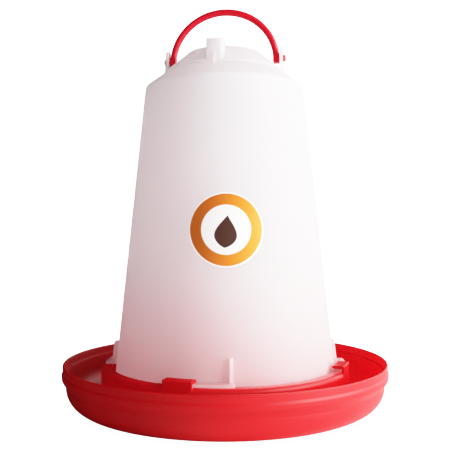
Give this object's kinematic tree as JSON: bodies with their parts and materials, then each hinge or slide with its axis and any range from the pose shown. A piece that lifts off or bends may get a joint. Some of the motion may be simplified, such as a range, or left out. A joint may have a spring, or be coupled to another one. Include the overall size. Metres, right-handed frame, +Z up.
{
  "type": "poultry siphon drinker",
  "caption": "Siphon drinker for poultry: a translucent conical tank locked mouth down into a round red drinking trough by bayonet hooks, with a folding carry handle.",
  "frame": {"origin": "centre of the resting face under the drinking trough, on the tank's vertical axis", "axes": "+Z up, X along the carry handle's pivot pins, -Y towards the front foot on the tank's top"},
  "size_m": [0.3668, 0.3668, 0.4503],
  "materials": {
    "tank_plastic": "translucent natural polyethylene, satin, moulded",
    "trough_plastic": "glossy red moulded plastic",
    "handle_plastic": "glossy red moulded plastic",
    "label_film": null
  },
  "bodies": {
    "drinking_trough": {"drinking_trough": "trough_plastic"},
    "reservoir_tank": {"reservoir_tank": "tank_plastic", "round_label": "label_film"},
    "carry_handle": {"carry_handle": "handle_plastic"}
  },
  "joints": [
    {"name": "tank_twist", "type": "hinge", "parent": "drinking_trough", "child": "reservoir_tank", "pos_m": [0, 0, 0.0448], "axis": [0, 0, 1], "range_deg": [-14.5, 59]},
    {"name": "handle_swing", "type": "hinge", "parent": "reservoir_tank", "child": "carry_handle", "pos_m": [0, 0, 0.3915], "axis": [1, 0, 0], "range_deg": [-75, 75]}
  ]
}
